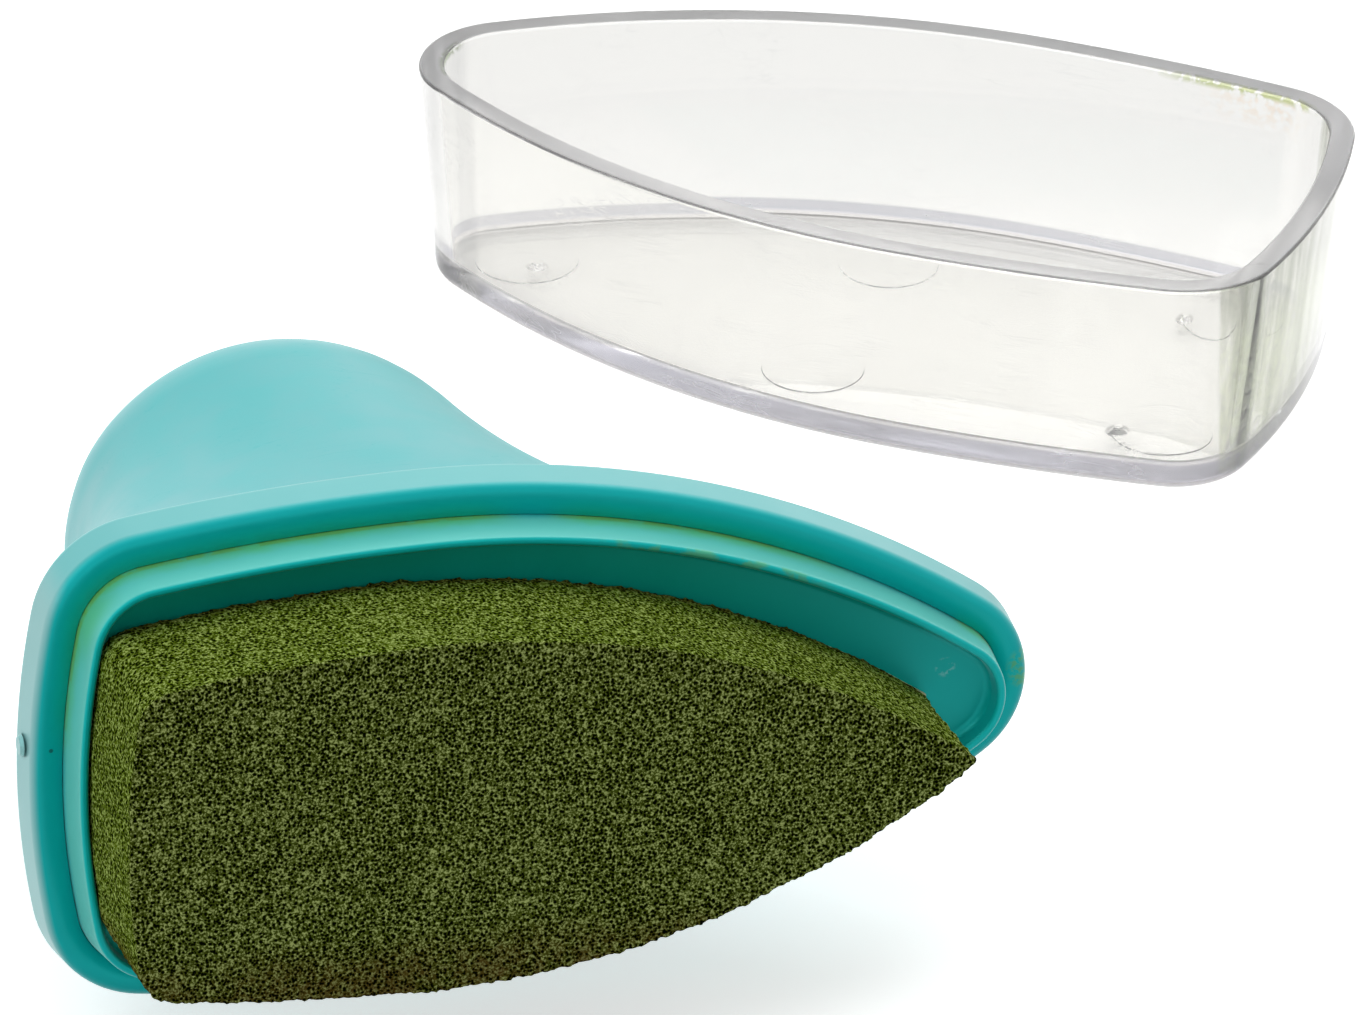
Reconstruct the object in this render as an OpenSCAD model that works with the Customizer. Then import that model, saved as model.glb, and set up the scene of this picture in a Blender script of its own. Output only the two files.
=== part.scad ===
// Hand-held ink pad: a petal-shaped foam pad on a knob handle, with a clear push-on lid.
// The pad lies on its side and the lid stands on its own floor beside it.
// Pad coordinates: +X from the blunt end to the tip, +Z out of the inked face, and
// z = 0 is the ledge that the closed lid meets. Outlines are petals moved out or in by an outset.

/* [Petal outline] */
// Length of the petal, from the blunt end to the tip
petal_len = 50; // [46:0.5:56]
// Width of the petal at its widest place
petal_w = 24.4; // [22:0.2:28]
// Distance from the blunt end to the widest place
widest_at = 19.1; // [16:0.1:23]
// Radius of the tip
tip_r = 3.7; // [3:0.1:5]
// Radius of the two blunt corners
corner_r = 4.1; // [3.5:0.1:5]
// Radius of the shallow curve across the blunt end
end_r = 41; // [35:1:60]
// Radius of the sides behind the widest place
rear_r = 111; // [90:1:150]

/* [Flange and ledge] */
// How far the flange stands out past the petal
flange_out = 1.75; // [1.5:0.05:2.2]
// Thickness of the flange
flange_t = 2.7; // [2.4:0.1:3.4]
// How far the flange's edge leans in from its back to its front
flange_draft = 0.3; // [0.1:0.05:0.4]
// Radius of the flange's front edge
flange_front_r = 0.55; // [0.4:0.05:0.8]
// Radius of the flange's back edge
flange_back_r = 0.45; // [0.2:0.05:0.7]

/* [Knob handle] */
// Length of the handle behind the flange
handle_len = 33.2; // [28:0.2:38]
// Width of the knob at its far end
knob_w = 21.8; // [20:0.2:23]
// Length of the knob's section, along the petal
knob_len = 22.6; // [21:0.2:24]
// Distance from the blunt end to the knob's axis
knob_at = 18.9; // [17:0.1:21]
// Radius that rounds the knob's far end
knob_end_r = 9; // [7:0.1:10]
// How quickly the handle narrows behind the flange
cove_power = 2; // [1.6:0.05:2.4]
// Distance from the flange's edge to the foot of the handle
root_inset = 1.7; // [1.5:0.1:2]
// Radius of the fillet round the foot of the handle
root_fillet = 0.9; // [0.5:0.1:1]
// Wall of the handle
handle_wall = 1.8; // [1.4:0.1:2.2]
// Radius of the gate mark on the flange's blunt end
gate_r = 0.8; // [0.4:0.1:1]
// Height of the gate mark
gate_h = 0.3; // [0.2:0.05:0.5]

/* [Pad tray] */
// How far the collar's foot stands inside the petal
collar_in = 0.15; // [0.1:0.05:0.3]
// Height of the collar above the ledge
collar_h = 2.35; // [2:0.05:3]
// How far the collar leans in from foot to rim
collar_draft = 0.3; // [0.2:0.05:0.4]
// Width of the collar's rim
rim_w = 0.45; // [0.35:0.05:0.6]
// Radius of the rim's edges
rim_edge_r = 0.18; // [0.1:0.01:0.2]
// Height of the recess floor above the ledge
recess_floor = 1.15; // [0.9:0.05:1.4]
// Radius of the fillet round the recess floor
recess_fillet = 0.4; // [0.2:0.05:0.5]
// Thickness of the tray's plate
plate_t = 1.5; // [1.2:0.1:1.8]
// Depth of the handle's pocket that the tray sits in
pocket_depth = 1.6; // [1.2:0.1:1.9]
// Width of the tray's foot, which rests on the pocket's step
foot_w = 1.4; // [1.2:0.1:1.6]
// Gap between the tray and the pocket's wall
tray_fit = 0.05; // [0.02:0.01:0.1]
// Thickness of the tray's stiffening ribs
rib_t = 1.2; // [0.8:0.1:1.5]
// Spacing of the cross ribs
rib_pitch = 9; // [7:0.5:11]

/* [Ink pad] */
// Length of the foam pad
foam_len = 44.8; // [42:0.1:46]
// Width of the foam pad
foam_w = 18.8; // [16:0.1:20]
// Gap between the foam and the collar's rim at the blunt end
foam_end_gap = 0.15; // [0.1:0.05:0.6]
// Distance from the foam's blunt end to its widest place
foam_widest_at = 15.9; // [13:0.1:19]
// Radius of the foam's tip
foam_tip_r = 0.4; // [0.3:0.1:1]
// Radius of the foam's blunt corners
foam_corner_r = 2; // [1.8:0.1:3]
// Radius of the foam's blunt end
foam_end_r = 45; // [36:1:60]
// Radius of the foam's sides behind the widest place
foam_rear_r = 95; // [70:1:120]
// Thickness of the foam
foam_t = 8.8; // [7:0.1:9.5]
// Thickness of the adhesive film under the foam
film_t = 0.15; // [0.1:0.05:0.2]
// How far the film stays inside the foam's edge
film_inset = 0.3; // [0.2:0.1:0.5]

/* [Lid] */
// Height of the lid
lid_h = 13.25; // [12.6:0.05:15]
// Wall of the lid
lid_wall = 1.46; // [1.2:0.02:1.6]
// Thickness of the lid's floor
lid_floor_t = 1.5; // [1.2:0.1:1.8]
// How far the lid's wall leans out from floor to rim
lid_draft = 1.1; // [0.6:0.05:1.4]
// Radius of the lid's outer floor edge
lid_edge_r = 0.9; // [0.6:0.1:1.2]
// Radius of the fillet inside the lid's floor
lid_fillet_r = 0.3; // [0.2:0.1:0.8]
// Radius of the lid rim's edges
lid_rim_r = 0.2; // [0.1:0.05:0.3]
// Radius of the ejector marks on the lid's floor
mark_r = 2.8; // [2.4:0.1:3]
// Depth of the ejector marks
mark_depth = 0.12; // [0.08:0.01:0.2]
// Distance of the tip mark from the tip
tip_mark_in = 5.3; // [5:0.1:7]
// Distance of the blunt pair of marks from the blunt end
blunt_mark_in = 5.1; // [5:0.1:7]
// Distance of the middle pair of marks from the widest place
mid_mark_from_widest = 6.4; // [4:0.1:8]
// Distance of the paired marks from the middle line
mark_spread = 7; // [6.4:0.1:7.6]

/* [Placing on the table] */
// Turn of the pad against the lid
pad_turn = 35.8; // [20:0.1:50]
// How far the tip dips as the pad lies on its side
tip_dip = 2; // [0:0.1:4]
// From the pad's blunt end to the lid's blunt end along X
lid_x = 40.5; // [35:0.1:60]
// From the pad's blunt end to the lid's blunt end along Y
lid_y = 84.7; // [80:0.1:110]

/* [Hidden] */

handle_colour = [0.36, 0.72, 0.74];
tray_colour = [0.05, 0.6, 0.62];
film_colour = [0.85, 0.84, 0.78];
foam_colour = [0.27, 0.33, 0.12];
lid_colour = [0.93, 0.94, 0.94, 0.45];

// Steps round one half of the outline: tip, front side, rear side, corner, blunt end.
tip_steps = 4;
front_steps = 11;
rear_steps = 8;
corner_steps = 5;
end_steps = 5;
// Steps along the handle's cove, round its far end, and round a small edge.
cove_steps = 13;
dome_steps = 7;
edge_steps = 3;

rim_in = -collar_in - collar_draft - rim_w;
foam_at = foam_end_gap - rim_in;
foam_z = recess_floor + film_t;
lid_foot_out = flange_out - lid_draft;

// An outline is given as [length, width, widest_at, tip_r, corner_r, end_r, rear_r, start].
petal = [petal_len, petal_w, widest_at, tip_r, corner_r, end_r, rear_r, 0];
foam = [foam_len, foam_w, foam_widest_at, foam_tip_r, foam_corner_r, foam_end_r, foam_rear_r, foam_at];

function arc(centre, r, from, to, steps) =
    [for (i = [0 : steps - 1]) let (a = from + (to - from) * i / steps) centre + r * [cos(a), sin(a)]];

// Upper meeting point of two circles.
function circles_meet(c0, r0, c1, r1) =
    let (
        span = norm(c1 - c0),
        along = (c1 - c0) / span,
        x = (r0 * r0 - r1 * r1 + span * span) / (2 * span),
        h = sqrt(max(r0 * r0 - x * x, 0))
    )
    c0 + x * along + h * [-along.y, along.x];

function angle_of(v) = atan2(v.y, v.x);

// Upper half of a petal from the tip round to the blunt end, moved out by outset.
function half_outline(o, outset) =
    let (
        half_w = o[1] / 2,
        tip_c = [o[0] - o[3], 0],
        front_r = ((tip_c.x - o[2]) ^ 2 + half_w ^ 2 - o[3] ^ 2) / (2 * (half_w - o[3])),
        front_c = [o[2], half_w - front_r],
        rear_c = [o[2], half_w - o[6]],
        end_c = [o[5], 0],
        corner_c = circles_meet(rear_c, o[6] - o[4], end_c, o[5] - o[4]),
        a_tip = angle_of(tip_c - front_c),
        a_rear = angle_of(corner_c - rear_c),
        a_end = angle_of(corner_c - end_c)
    )
    concat(
        arc(tip_c, o[3] + outset, 0, a_tip, tip_steps),
        arc(front_c, front_r + outset, a_tip, 90, front_steps),
        arc(rear_c, o[6] + outset, 90, a_rear, rear_steps),
        arc(corner_c, o[4] + outset, a_rear, a_end, corner_steps),
        arc(end_c, o[5] + outset, a_end, 180, end_steps),
        [[-outset, 0]]
    );

// Whole outline, anticlockwise from the tip.
function outline(o, outset = 0) =
    let (half = half_outline(o, outset), n = len(half))
    [for (i = [0 : 2 * n - 3]) i < n
        ? [half[i].x + o[7], half[i].y]
        : [half[2 * n - 2 - i].x + o[7], -half[2 * n - 2 - i].y]];

function ring(outset, z) = [for (p = outline(petal, outset)) [p.x, p.y, z]];

// Rings of a rounded edge: from angle a0 to a1 about the point [outset, z].
function edge_rings(out, z, r, a0, a1) =
    [for (i = [0 : edge_steps]) let (a = a0 + (a1 - a0) * i / edge_steps)
        ring(out + r * cos(a), z + r * sin(a))];

// Section of the handle at a depth behind the flange, moved in by inset.
function handle_ring(depth, inset) =
    let (
        s = min(depth / handle_len, 1),
        share = 1 - (1 - s) ^ cove_power,
        past = max(depth - (handle_len - knob_end_r), 0),
        dome_r = knob_end_r - inset,
        dome_shrink = dome_r - sqrt(max(dome_r ^ 2 - past ^ 2, 0))
    )
    [for (p = outline(petal, flange_out - root_inset - inset))
        let (
            a = angle_of([p.x - knob_at, p.y]),
            knob_r = 1 / sqrt((cos(a) / (knob_len / 2)) ^ 2 + (sin(a) / (knob_w / 2)) ^ 2),
            r = (1 - share) * norm([p.x - knob_at, p.y]) + share * (knob_r - inset) - dome_shrink
        )
        [knob_at + r * cos(a), r * sin(a), -flange_t - depth]];

// Depths of the handle's sections from a starting depth, closer together round its end.
function handle_depths(start, inset) =
    let (straight = handle_len - knob_end_r, dome_r = knob_end_r - inset)
    concat(
        [for (i = [0 : cove_steps - 1]) start + (straight - start) * i / cove_steps],
        [for (i = [0 : dome_steps]) straight + dome_r * sin(90 * i / dome_steps)]
    );

function reversed(list) = [for (i = [len(list) - 1 : -1 : 0]) list[i]];

// The fillet at the handle's foot, from the flange's back face to where the cove starts.
root_rings = [for (i = [edge_steps : -1 : 1]) let (a = 90 * i / edge_steps)
    handle_ring(root_fillet * (1 - sin(a)), -root_fillet * (1 - cos(a)))];
outer_handle_rings = concat(root_rings, [for (d = handle_depths(root_fillet, 0)) handle_ring(d, 0)]);
inner_handle_rings = [for (d = handle_depths(0, handle_wall)) handle_ring(d, handle_wall)];

// One closed skin over a run of rings with equal point counts, with a cap at each end.
module skin(rings) {
    n = len(rings[0]);
    last = len(rings) - 1;
    polyhedron(
        points = [for (r = rings) each r],
        faces = concat(
            [[for (i = [0 : n - 1]) i]],
            [for (k = [0 : last - 1]) for (i = [0 : n - 1]) let (j = (i + 1) % n)
                [k * n + i, (k + 1) * n + i, (k + 1) * n + j, k * n + j]],
            [[for (i = [n - 1 : -1 : 0]) last * n + i]]
        )
    );
}

// Resting pose: the flange's back edge and the knob both touch the table.
function reach_down(pts) = max([for (p = pts) p.y * -cos(tip_dip) + p.x * sin(tip_dip)]);
flange_foot = ring(flange_out, flange_back_r - flange_t);
lean = min([for (r = outer_handle_rings) if (r[0].z < -flange_t)
    atan2(reach_down(flange_foot) - reach_down(r), flange_foot[0].z - r[0].z)]);

function turn_z(p, a) = [p.x * cos(a) - p.y * sin(a), p.x * sin(a) + p.y * cos(a), p.z];
function turn_x(p, a) = [p.x, p.y * cos(a) - p.z * sin(a), p.y * sin(a) + p.z * cos(a)];
function laid(p) = turn_z(turn_x(turn_z(p, -tip_dip), 90 - lean), pad_turn);

flange_brow = ring(flange_out - flange_draft, -flange_front_r);
foam_face = [for (p = outline(foam)) [p.x, p.y, foam_z + foam_t]];
pad_rings = concat([flange_foot, flange_brow, foam_face], outer_handle_rings);
pad_points = [for (r = pad_rings) for (p = r) laid(p)];
lid_points = [for (p = outline(petal, flange_out)) [lid_x - p.x, lid_y - p.y, lid_h]];
all_points = concat(pad_points, lid_points);
pad_lift = -min([for (p = pad_points) p.z]);
mid_x = (min([for (p = all_points) p.x]) + max([for (p = all_points) p.x])) / 2;
mid_y = (min([for (p = all_points) p.y]) + max([for (p = all_points) p.y])) / 2;

module lay_pad() {
    translate([-mid_x, -mid_y, pad_lift])
    rotate([0, 0, pad_turn])
    rotate([90 - lean, 0, 0])
    rotate([0, 0, -tip_dip])
    children();
}

module stand_lid() {
    translate([lid_x - mid_x, lid_y - mid_y, 0])
    rotate([0, 0, 180])
    children();
}

// Hollow knob handle with the petal flange, and the pocket that takes the tray.
module handle_shell() {
    color(handle_colour) lay_pad() {
        skin(concat(
            reversed(outer_handle_rings),
            edge_rings(flange_out - flange_back_r, -flange_t + flange_back_r, flange_back_r, -90, 0),
            edge_rings(flange_out - flange_draft - flange_front_r, -flange_front_r, flange_front_r, 0, 90),
            [ring(tray_fit - collar_in, 0), ring(tray_fit - collar_in, -pocket_depth)],
            [ring(flange_out - root_inset - handle_wall, -pocket_depth)],
            inner_handle_rings
        ));
        translate([-flange_out - gate_h, 0, -flange_t / 2])
        rotate([0, 90, 0])
        cylinder(r = gate_r, h = 2 * gate_h, $fn = 24);
    }
}

// Collar, recess floor and foot of the tray, as one skin from the plate's back to its floor.
module tray_shell() {
    rim_mid = rim_in + rim_w / 2;
    rim_out = rim_w / 2 - rim_edge_r;
    skin(concat(
        [ring(-foot_w, recess_floor - plate_t), ring(-foot_w, -pocket_depth)],
        [ring(-collar_in, -pocket_depth), ring(-collar_in, 0)],
        edge_rings(rim_mid + rim_out, collar_h - rim_edge_r, rim_edge_r, 0, 90),
        edge_rings(rim_mid - rim_out, collar_h - rim_edge_r, rim_edge_r, 90, 180),
        edge_rings(rim_in - recess_fillet, recess_floor + recess_fillet, recess_fillet, 0, -90)
    ));
}

// One long rib and a row of cross ribs on the back of the tray's plate.
module tray_ribs() {
    rib_overlap = 0.3;
    rib_h = recess_floor - plate_t + pocket_depth + rib_overlap;
    cross_count = floor((petal_len - widest_at) / rib_pitch) + 1;
    translate([0, 0, -pocket_depth])
    linear_extrude(height = rib_h)
    intersection() {
        polygon(outline(petal, -foot_w / 2));
        union() {
            translate([0, -rib_t / 2]) square([petal_len, rib_t]);
            for (i = [0 : cross_count - 1])
                translate([widest_at / 2 + i * rib_pitch - rib_t / 2, -petal_w / 2]) square([rib_t, petal_w]);
        }
    }
}

module pad_tray() {
    color(tray_colour) lay_pad() {
        tray_shell();
        tray_ribs();
    }
}

module adhesive_film() {
    color(film_colour) lay_pad()
    translate([0, 0, recess_floor])
    linear_extrude(height = film_t)
    polygon(outline(foam, -film_inset));
}

module ink_pad() {
    color(foam_colour) lay_pad()
    translate([0, 0, foam_z])
    linear_extrude(height = foam_t)
    polygon(outline(foam));
}

// Clear cup of the same petal outline, open upwards.
module lid_cup() {
    lean_per_mm = lid_draft / lid_h;
    outer_foot = lid_foot_out + lean_per_mm * lid_edge_r;
    inner_foot = lid_foot_out + lean_per_mm * (lid_floor_t + lid_fillet_r) - lid_wall;
    skin(concat(
        edge_rings(outer_foot - lid_edge_r, lid_edge_r, lid_edge_r, -90, 0),
        edge_rings(flange_out - lid_rim_r, lid_h - lid_rim_r, lid_rim_r, 0, 90),
        edge_rings(flange_out - lid_wall + lid_rim_r, lid_h - lid_rim_r, lid_rim_r, 90, 180),
        reversed(edge_rings(inner_foot - lid_fillet_r, lid_floor_t + lid_fillet_r, lid_fillet_r, -90, 0))
    ));
}

// Places of the ejector marks: one near the tip, and a pair at each of two stations.
tip_mark = [petal_len - tip_mark_in, 0];
mark_stations = [blunt_mark_in, widest_at + mid_mark_from_widest];
paired_marks = [for (x = mark_stations, side = [-1, 1]) [x, side * mark_spread]];

module lid() {
    color(lid_colour) stand_lid()
    difference() {
        lid_cup();
        for (place = concat([tip_mark], paired_marks))
            translate([place.x, place.y, lid_floor_t - mark_depth])
            cylinder(r = mark_r, h = 2 * mark_depth, $fn = 48);
    }
}

handle_shell();
pad_tray();
adhesive_film();
ink_pad();
lid();
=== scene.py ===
"""Hand-held ink pad lying on its side, with its clear lid standing behind it."""
from math import atan2, cos, hypot, pi, radians, sin, sqrt, tan

import bmesh
import bpy
from mathutils import Euler, Matrix, Vector, noise


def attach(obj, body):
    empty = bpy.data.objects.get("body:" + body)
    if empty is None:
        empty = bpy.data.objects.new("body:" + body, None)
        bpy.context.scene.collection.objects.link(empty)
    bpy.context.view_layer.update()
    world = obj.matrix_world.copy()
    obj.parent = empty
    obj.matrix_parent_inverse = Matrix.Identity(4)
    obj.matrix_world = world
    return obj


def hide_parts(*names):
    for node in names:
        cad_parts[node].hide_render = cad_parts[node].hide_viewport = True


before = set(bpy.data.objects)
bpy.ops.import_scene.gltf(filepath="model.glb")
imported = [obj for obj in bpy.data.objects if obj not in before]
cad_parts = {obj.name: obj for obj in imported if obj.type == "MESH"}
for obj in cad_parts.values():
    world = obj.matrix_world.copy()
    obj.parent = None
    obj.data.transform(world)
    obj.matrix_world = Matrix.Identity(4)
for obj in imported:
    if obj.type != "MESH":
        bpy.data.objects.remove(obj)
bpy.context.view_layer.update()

# ---------------------------------------------------------------- sizes, in millimetres
MM = 0.001
# Outlines: length, width, widest at, tip radius, corner radius, end radius, rear radius, start
PETAL = (50.0, 24.4, 19.1, 3.7, 4.1, 41.0, 111.0, 0.0)
FOAM = (44.5, 19.0, 16.0, 0.4, 2.0, 45.0, 95.0, 0.95)
# Steps along half an outline: tip, front side, rear side, corner and half of the blunt end
OUTLINE_STEPS = (12, 36, 24, 15, 14)

FLANGE_OUT, FLANGE_T, FLANGE_DRAFT = 1.75, 2.7, 0.3
FLANGE_FRONT_R, FLANGE_BACK_R = 0.55, 0.45
HANDLE_LEN, KNOB_W, KNOB_LEN, KNOB_AT, KNOB_END_R = 33.2, 21.8, 22.6, 18.9, 9.0
ROOT_INSET, ROOT_FILLET, HANDLE_WALL = 1.7, 0.9, 1.8
DOME_STEPS, COVE_STEPS, FILLET_STEPS = 16, 44, 6
INNER_COVE_STEPS, INNER_DOME_STEPS = 14, 6
GATE_R, GATE_TAPER, GATE_H, GATE_Y, GATE_EDGE = 0.65, 0.7, 0.1, 1.4, 0.06

COLLAR_IN, COLLAR_H, COLLAR_DRAFT, RIM_W, RIM_R = 0.15, 2.35, 0.3, 0.45, 0.2
RECESS_FLOOR, RECESS_FILLET, RECESS_DRAFT, RECESS_RING = 1.15, 0.4, 0.1, 2.4
PLATE_T, POCKET_DEPTH, FOOT_W, TRAY_FIT = 1.5, 1.6, 1.4, 0.05

FILM_T, FOAM_T, FOAM_VOXEL, FOAM_INSET = 0.15, 8.8, 0.13, 0.1
# Unevenness of the foam's skin: waves per millimetre, their height, and a shift
FOAM_CRUMBS = (1.9, 0.07, (0, 0, 0))
FOAM_GRAIN = (4.5, 0.05, (7, 3, 1))
FOAM_SWELL = (0.35, 0.08, (2, 9, 4))

LID_H, LID_WALL, LID_FLOOR_T, LID_DRAFT = 13.25, 1.46, 1.5, 1.1
LID_EDGE_R, LID_FILLET_R, LID_RIM_R, LID_RING = 0.9, 0.3, 0.2, 2.0
MARK_R, MARK_TOP_R, MARK_H, MARK_SIDES = 2.85, 2.83, 0.07, 64
MARK_PLACES = ((44.7, 0.5), (25.6, 7.0), (25.5, -6.2), (5.3, 7.0), (5.2, -6.9))
NIB_R, NIB_TOP_R, NIB_H, NIB_SIDES = 0.75, 0.25, 0.32, 12
NIB_PLACES = ((43.9, 1.1), (7.5, 7.9), (7.6, -5.9))
# A face of the lid is level, and flat in shade, when its normal's height is at least this
LEVEL = 0.9995
# The "reach" of the lid's floor, whatever stands on it
FLOOR_REACH = -3.0

# Where the pad and the lid stand on the table
PAD_TURN, PAD_LEAN, TIP_DIP = radians(35.8), radians(6.876), radians(2.0)
PAD_SPOT = Vector((-15.946, -45.316, 14.794))
LID_SPOT = Vector((24.554, 39.384, 0.0))

pad_place = (
    Matrix.Translation(PAD_SPOT * MM)
    @ Matrix.Rotation(PAD_TURN, 4, "Z")
    @ Matrix.Rotation(pi / 2 - PAD_LEAN, 4, "X")
    @ Matrix.Rotation(-TIP_DIP, 4, "Z")
    @ Matrix.Scale(MM, 4)
)
lid_place = Matrix.Translation(LID_SPOT * MM) @ Matrix.Rotation(pi, 4, "Z") @ Matrix.Scale(MM, 4)
own_place = Matrix.Identity(4)


# ---------------------------------------------------------------- outlines and sections
def arc(centre, r, start, end, steps):
    """Points round an arc, without its last one."""
    turns = [start + (end - start) * i / steps for i in range(steps)]
    return [Vector((centre[0] + r * cos(a), centre[1] + r * sin(a))) for a in turns]


def circles_meet(c0, r0, c1, r1):
    """Upper meeting point of two circles."""
    along = c1 - c0
    span = along.length
    along = along / span
    x = (r0 * r0 - r1 * r1 + span * span) / (2 * span)
    return c0 + along * x + Vector((-along.y, along.x)) * sqrt(max(r0 * r0 - x * x, 0))


def outline(shape, outset=0.0):
    """A petal's outline, anticlockwise from its tip, moved out by outset."""
    length, width, widest, tip_r, corner_r, end_r, rear_r, start = shape
    half_w = width / 2
    tip_c = Vector((length - tip_r, 0))
    front_r = ((tip_c.x - widest) ** 2 + half_w**2 - tip_r**2) / (2 * (half_w - tip_r))
    front_c = Vector((widest, half_w - front_r))
    rear_c = Vector((widest, half_w - rear_r))
    end_c = Vector((end_r, 0))
    corner_c = circles_meet(rear_c, rear_r - corner_r, end_c, end_r - corner_r)
    a_tip = atan2(tip_c.y - front_c.y, tip_c.x - front_c.x)
    a_rear = atan2(corner_c.y - rear_c.y, corner_c.x - rear_c.x)
    a_end = atan2(corner_c.y - end_c.y, corner_c.x - end_c.x)
    tip_n, front_n, rear_n, corner_n, end_n = OUTLINE_STEPS
    half = (
        arc(tip_c, tip_r + outset, 0, a_tip, tip_n)
        + arc(front_c, front_r + outset, a_tip, pi / 2, front_n)
        + arc(rear_c, rear_r + outset, pi / 2, a_rear, rear_n)
        + arc(corner_c, corner_r + outset, a_rear, a_end, corner_n)
        + arc(end_c, end_r + outset, a_end, pi, end_n)
        + [Vector((-outset, 0))]
    )
    whole = half + [Vector((p.x, -p.y)) for p in reversed(half[1:-1])]
    return [Vector((p.x + start, p.y)) for p in whole]


def rounded(corners, steps=6, guard=0.35):
    """Section points through corners (outset, z, radius).

    A corner with a radius becomes an arc, with a guard point on each side of it.
    """
    points = []
    for k, (x, z, r) in enumerate(corners):
        here = Vector((x, z))
        if r == 0 or k in (0, len(corners) - 1):
            points.append(here)
            continue
        back = (Vector(corners[k - 1][:2]) - here).normalized()
        ahead = (Vector(corners[k + 1][:2]) - here).normalized()
        half_angle = back.angle(ahead) / 2
        run = r / tan(half_angle)
        centre = here + (back + ahead).normalized() * r / sin(half_angle)
        start, end = here + back * run, here + ahead * run
        points.append(start + back * guard * r)
        a0 = atan2(start.y - centre.y, start.x - centre.x)
        a1 = atan2(end.y - centre.y, end.x - centre.x)
        sweep = (a1 - a0 + pi) % (2 * pi) - pi
        for i in range(steps + 1):
            a = a0 + sweep * i / steps
            points.append(centre + Vector((cos(a), sin(a))) * r)
        points.append(end + ahead * guard * r)
    return points


def rings_along(section, shape=PETAL):
    """One ring of the outline at each point (outset, z) of a section."""
    return [[Vector((p.x, p.y, s.y)) for p in outline(shape, s.x)] for s in section]


def handle_ring(depth, inset=0.0, flare=0.0):
    """Section of the handle at a depth behind the flange: petal at its foot, round at its knob."""
    share = 1 - (1 - min(depth / HANDLE_LEN, 1)) ** 2
    past = max(depth - (HANDLE_LEN - KNOB_END_R), 0)
    dome_r = KNOB_END_R - inset
    shrink = dome_r - sqrt(max(dome_r**2 - past**2, 0))
    ring = []
    for p in outline(PETAL, FLANGE_OUT - ROOT_INSET - inset + flare):
        away = Vector((p.x - KNOB_AT, p.y))
        a = atan2(away.y, away.x)
        knob_r = 1 / hypot(cos(a) / (KNOB_LEN / 2), sin(a) / (KNOB_W / 2))
        r = (1 - share) * away.length + share * (knob_r - inset) - shrink
        ring.append(Vector((KNOB_AT + r * cos(a), r * sin(a), -FLANGE_T - depth)))
    return ring


# ---------------------------------------------------------------- meshes
def loft(rings, reaches):
    """A bmesh whose first ring is extruded through all the others, with a cap at each end.

    Each vertex keeps its number along the ring as "order" and its ring's outset as "reach".
    """
    bm = bmesh.new()
    order = bm.verts.layers.int.new("order")
    reach = bm.verts.layers.float.new("reach")
    first = [bm.verts.new(p) for p in rings[0]]
    for i, v in enumerate(first):
        v[order] = i
        v[reach] = reaches[0]
    edges = [bm.edges.new((first[i - 1], first[i])) for i in range(len(first))]
    bm.faces.new(reversed(first))
    for ring, outset in zip(rings[1:], reaches[1:]):
        step = bmesh.ops.extrude_edge_only(bm, edges=edges)["geom"]
        new = {e for e in step if isinstance(e, bmesh.types.BMVert)}
        for v in new:
            v.co = ring[v[order]]
            v[reach] = outset
        edges = [e for e in step if isinstance(e, bmesh.types.BMEdge) and set(e.verts) <= new]
    bmesh.ops.contextual_create(bm, geom=edges)
    for face in bm.faces:
        face.smooth = len(face.verts) == 4
    bmesh.ops.recalc_face_normals(bm, faces=bm.faces)
    return bm


def loft_along(section, shape=PETAL):
    """A loft along a section of points (outset, z)."""
    return loft(rings_along(section, shape), [s.x for s in section])


def add_piece(name, bm, place, material):
    """An object from a bmesh in millimetres, which keeps those places as "spot"."""
    mesh = bpy.data.meshes.new(name)
    bm.to_mesh(mesh)
    bm.free()
    if "spot" in mesh.attributes:
        mesh.attributes.remove(mesh.attributes["spot"])
    spots = mesh.attributes.new("spot", "FLOAT_VECTOR", "POINT")
    for v, spot in zip(mesh.vertices, spots.data):
        spot.vector = v.co
    mesh.transform(place)
    mesh.materials.append(material)
    obj = bpy.data.objects.new(name, mesh)
    bpy.context.collection.objects.link(obj)
    return obj


def baked(obj):
    """A bmesh of the object with its modifiers applied."""
    posed = obj.evaluated_get(bpy.context.evaluated_depsgraph_get())
    bm = bmesh.new()
    bm.from_mesh(bpy.data.meshes.new_from_object(posed))
    return bm


# ---------------------------------------------------------------- shader helpers
def feed(tree, socket, value):
    """Links a socket to another socket, or sets its constant."""
    if isinstance(value, bpy.types.NodeSocket):
        tree.links.new(value, socket)
    else:
        socket.default_value = value


def add_node(tree, kind, values=None, **settings):
    """A node with its settings, and with its inputs fed by name or number."""
    n = tree.nodes.new(kind)
    for key, value in settings.items():
        setattr(n, key, value)
    for key, value in (values or {}).items():
        feed(tree, n.inputs[key], value)
    return n


def calc(tree, operation, a, b=0.0, clamp=False):
    """One sum on values or masks."""
    values = {0: a, 1: b}
    return add_node(tree, "ShaderNodeMath", values, operation=operation, use_clamp=clamp).outputs[0]


def times(tree, *masks):
    """Masks and strengths multiplied together."""
    product = masks[0]
    for mask in masks[1:]:
        product = calc(tree, "MULTIPLY", product, mask)
    return product


def strongest(tree, *masks):
    """The highest of some masks."""
    top = masks[0]
    for mask in masks[1:]:
        top = calc(tree, "MAXIMUM", top, mask)
    return top


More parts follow.
